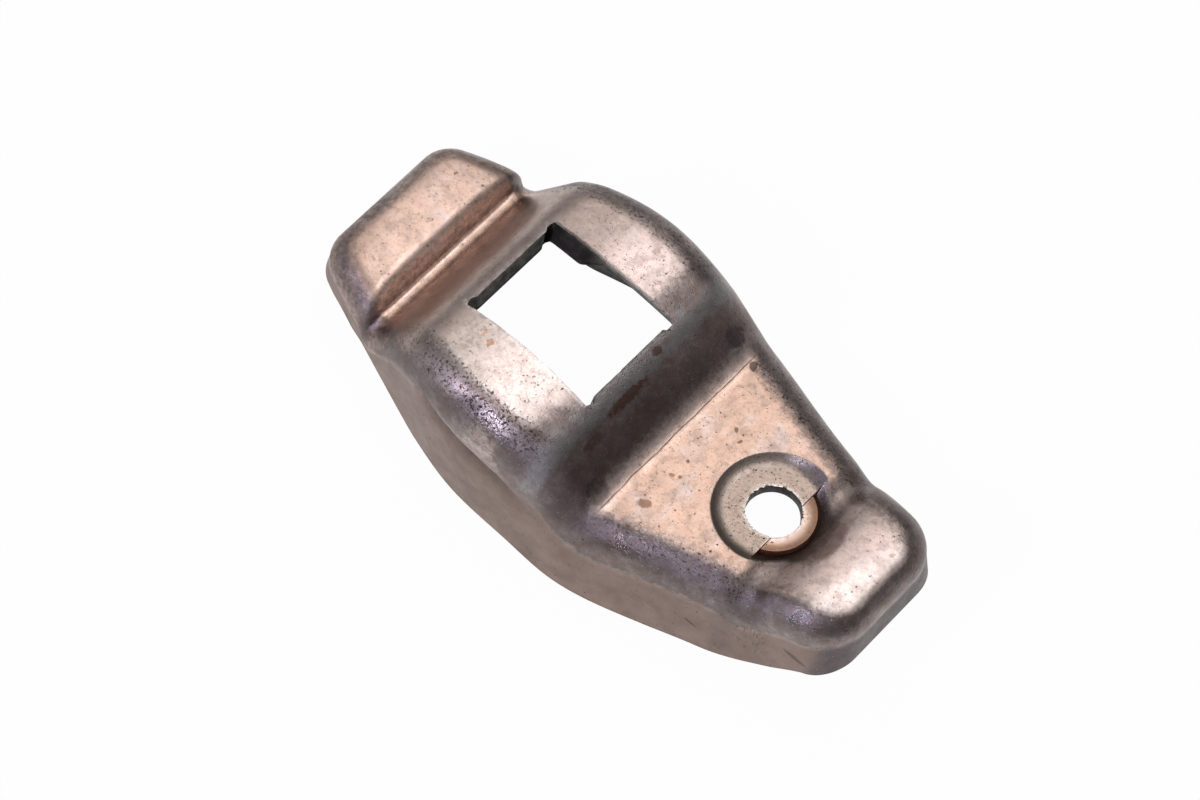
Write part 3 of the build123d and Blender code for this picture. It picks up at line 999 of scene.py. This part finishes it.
# Painted shade on the tip's end wall: it is made hardly metallic, so it reflects little of the white floor
tree.links.new(span(field("end_wall_shade"), 1.0, 0.15), shader.inputs["Metallic"])
worn = span(patch(600, 0.5, 0.25), 0.28, 0.42)
worn = maths("SUBTRACT", worn, span(soot_and_shade_share, 0.0, 0.03))
worn = maths("ADD", worn, maths("MULTIPLY", field("matt"), 0.22))
worn = maths("ADD", worn, span(skirt_field, 0.0, 0.12))
worn = maths("ADD", worn, span(pitting, 0.0, 0.25))
tree.links.new(worn, shader.inputs["Roughness"])

ripple = add_node(tree, "ShaderNodeTexNoise", {"Vector": spot, "Scale": 420.0, "Detail": 2.0})
grit = add_node(
    tree, "ShaderNodeTexNoise", {"Vector": spot, "Scale": 5200.0, "Detail": 4.0, "Roughness": 0.65}
)
rippled = maths("MULTIPLY", ripple.outputs["Fac"], span(soot_and_shade, 1.0, 0.3))
waves = add_node(tree, "ShaderNodeBump", {"Height": rippled, "Strength": 0.45, "Distance": 0.1e-3})
gritty = maths("MULTIPLY", grit.outputs["Fac"], span(soot_and_shade, 0.8, 2.8))
grain = add_node(
    tree,
    "ShaderNodeBump",
    {"Height": gritty, "Strength": 0.8, "Distance": 0.03e-3, "Normal": waves.outputs[0]},
)
sunk_pits = maths("SUBTRACT", 1.0, maths("MAXIMUM", pitting, maths("MAXIMUM", scored, pressed)))
holes = add_node(
    tree,
    "ShaderNodeBump",
    {"Height": sunk_pits, "Strength": 0.8, "Distance": 0.04e-3, "Normal": grain.outputs[0]},
)
tree.links.new(holes.outputs[0], shader.inputs["Normal"])
mesh.materials.append(steel)

# Inside of the sheet and the cut edges: near black scale from heat treatment
scale_coat = bpy.data.materials.new("black_scale")
scale_coat.use_nodes = True
tree = scale_coat.node_tree
shader = tree.nodes["Principled BSDF"]
spot = add_node(tree, "ShaderNodeTexCoord").outputs["Object"]
black = (0.014, 0.012, 0.011, 1)
sooty_brown = (0.045, 0.035, 0.03, 1)
scale_rust = (0.09, 0.06, 0.04, 1)
colour = layer(black, sooty_brown, patch(900, 0.4, 0.15))
colour = layer(colour, scale_rust, maths("MULTIPLY", patch(700, 0.3, 0.1), 0.4))
tree.links.new(colour, shader.inputs["Base Color"])
shader.inputs["Metallic"].default_value = 0.3
tree.links.new(span(patch(1200, 0.5, 0.2), 0.45, 0.7), shader.inputs["Roughness"])
grit = add_node(
    tree, "ShaderNodeTexNoise", {"Vector": spot, "Scale": 3500.0, "Detail": 4.0, "Roughness": 0.7}
)
grain = add_node(
    tree, "ShaderNodeBump", {"Height": grit.outputs["Fac"], "Strength": 0.7, "Distance": 0.05e-3}
)
tree.links.new(grain.outputs[0], shader.inputs["Normal"])
mesh.materials.append(scale_coat)
is_scale = np.arange(len(mesh_quads)) >= len(quads)
mesh.polygons.foreach_set("material_index", is_scale.astype(np.int32))


# Floor
# A plain white sheet of paper, level with the lowest edge of the arm, which rests on it. It shows white to
# the camera and in the steel, and keeps a little of the arm's shadow.
floor_reach, floor_height = 1.5, -15.5e-3
corner_ways = ((-1, -1), (1, -1), (1, 1), (-1, 1))
floor_corners = [(a * floor_reach, b * floor_reach, floor_height) for a, b in corner_ways]
floor_mesh = bpy.data.meshes.new("floor")
floor_mesh.from_pydata(floor_corners, [], [(0, 1, 2, 3)])
floor = bpy.data.objects.new("floor", floor_mesh)
bpy.context.scene.collection.objects.link(floor)
paper = bpy.data.materials.new("white_paper")
paper.use_nodes = True
nodes, links = paper.node_tree.nodes, paper.node_tree.links
plain = nodes["Principled BSDF"]
plain.inputs["Base Color"].default_value = (0.8, 0.8, 0.8, 1)
plain.inputs["Roughness"].default_value = 0.9
glow = nodes.new("ShaderNodeEmission")
glow.inputs["Strength"].default_value = 1
path = nodes.new("ShaderNodeLightPath")
# Seen by the camera or in the steel, the paper is white
seen = nodes.new("ShaderNodeMath")
seen.operation = "MAXIMUM"
links.new(path.outputs["Is Camera Ray"], seen.inputs[0])
links.new(path.outputs["Is Glossy Ray"], seen.inputs[1])
white_share = 0.975
share = nodes.new("ShaderNodeMath")
share.operation = "MULTIPLY"
share.inputs[1].default_value = white_share
links.new(seen.outputs[0], share.inputs[0])
blend = nodes.new("ShaderNodeMixShader")
links.new(share.outputs[0], blend.inputs[0])
links.new(plain.outputs[0], blend.inputs[1])
links.new(glow.outputs[0], blend.inputs[2])
links.new(blend.outputs[0], nodes["Material Output"].inputs["Surface"])
floor_mesh.materials.append(paper)


# Light
# Two soft boxes overhead, two warmer ones behind to the left, a small cool one low in front, and a dim
# grey room that is brighter above.
def soft_box(name, place, size, power, colour):
    light = bpy.data.lights.new(name, "AREA")
    light.shape = "RECTANGLE"
    light.size, light.size_y = size
    light.energy = power
    light.color = colour
    box = bpy.data.objects.new(name, light)
    box.location = place
    box.rotation_euler = (-Vector(place)).to_track_quat("-Z", "Y").to_euler()
    bpy.context.scene.collection.objects.link(box)


soft_box("overhead", (-0.01, 0.2, 0.58), (0.3, 0.32), 0.56, (1, 0.975, 0.975))
soft_box("core", (-0.01, 0.1, 0.6), (0.12, 0.12), 0.13, (1, 0.98, 0.99))
soft_box("back_left", (-0.34, 0.28, 0.56), (0.36, 0.4), 0.48, (1, 0.93, 0.86))
soft_box("left_fill", (-0.56, 0.28, 0.34), (0.44, 0.36), 0.26, (1, 0.95, 0.93))
soft_box("low_front", (-0.1, -0.42, 0.36), (0.06, 0.06), 1.45, (0.72, 0.73, 1.0))
room_levels = [(0.0, 0.06), (0.45, 0.14), (1.0, 0.45)]
room_tint = (1, 0.98, 0.97)
room = bpy.data.worlds.new("room")
bpy.context.scene.world = room
room.use_nodes = True
tree = room.node_tree
direction = add_node(tree, "ShaderNodeTexCoord").outputs["Generated"]
height = add_node(tree, "ShaderNodeSeparateXYZ", {0: direction}).outputs["Z"]
walls = add_node(tree, "ShaderNodeValToRGB", {"Fac": height})
ramp = walls.color_ramp.elements
for stop, (at, level) in enumerate(room_levels):
    element = ramp[stop] if stop < len(ramp) else ramp.new(at)
    element.position = at
    element.color = (*[level * share for share in room_tint], 1)
tree.links.new(walls.outputs["Color"], tree.nodes["Background"].inputs["Color"])
tree.nodes["Background"].inputs["Strength"].default_value = 1


# Camera
# A long lens high above the arm, a little towards its near side and its tip. The directions that lie to
# the right, upwards and backwards in the picture give its turn.
lens = bpy.data.cameras.new("camera")
lens.lens = 133.95
lens.sensor_width = 36
camera = bpy.data.objects.new("camera", lens)
camera_distance = 0.47
aside, below = 3.347e-3, 9.368e-3
right = Vector((0.742, 0.661, 0.102)).normalized()
up = Vector((-0.630, 0.639, 0.439))
up = (up - right * up.dot(right)).normalized()
back = right.cross(up)
aim = Vector((0, 0, window_level))
place = aim + aside * right - below * up + camera_distance * back
turn = Matrix((right, up, back)).transposed()
camera.matrix_world = Matrix.Translation(place) @ turn.to_4x4()
bpy.context.scene.collection.objects.link(camera)
bpy.context.scene.camera = camera
bpy.context.scene.view_settings.view_transform = "Standard"
